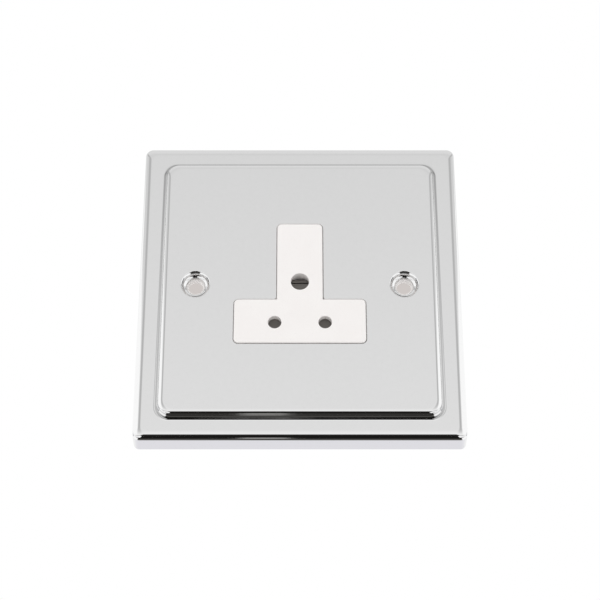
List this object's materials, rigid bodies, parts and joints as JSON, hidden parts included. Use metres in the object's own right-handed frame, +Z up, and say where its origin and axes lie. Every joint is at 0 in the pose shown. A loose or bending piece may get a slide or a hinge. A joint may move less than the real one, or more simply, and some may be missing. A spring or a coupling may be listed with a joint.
{
  "type": "round pin wall socket",
  "caption": "Single wall socket for round three-pin plugs: a stepped square metal plate, a white T-shaped insert with a sprung shutter, and the wiring module behind.",
  "frame": {"origin": "middle of the two fixing holes, on the wall face, which is the plane of the plate's back edge", "axes": "+Z up with the earth pin at the top, +X to the right seen from the room, +Y into the wall, so the socket face looks along -Y"},
  "size_m": [0.0936, 0.0233, 0.0936],
  "materials": {
    "chrome_plate": "polished",
    "white_urea": "satin",
    "white_base": "satin",
    "grey_shutter": "matte",
    "brass": "drawn",
    "spring_steel": "drawn",
    "zinc_steel": "zinc plated"
  },
  "bodies": {
    "socket": {"front_plate": "chrome_plate", "plate_stud_top": "zinc_steel", "plate_stud_bottom": "zinc_steel", "stud_nut_top": "zinc_steel", "stud_nut_bottom": "zinc_steel", "socket_front": "white_urea", "shutter_keeper": "grey_shutter", "line_sleeve": "brass", "neutral_sleeve": "brass", "earth_sleeve": "brass", "line_sleeve_clip": "spring_steel", "neutral_sleeve_clip": "spring_steel", "earth_sleeve_clip": "spring_steel", "line_terminal": "brass", "neutral_terminal": "brass", "earth_terminal": "brass", "line_terminal_screw": "brass", "neutral_terminal_screw": "brass", "earth_terminal_screw": "brass", "rear_base": "white_base", "base_screw_left": "zinc_steel", "base_screw_right": "zinc_steel", "base_screw_bottom": "zinc_steel", "earth_strap": "brass", "shutter_spring": "spring_steel"},
    "shutter": {"shutter": "grey_shutter"}
  },
  "joints": [
    {"name": "shutter_slide", "type": "slide", "parent": "socket", "child": "shutter", "axis": [0, 0, -1], "range_m": [0, 0.0043], "stiffness_N_per_m": 120, "springref_m": -0.004, "deforming": ["shutter_spring"]}
  ]
}
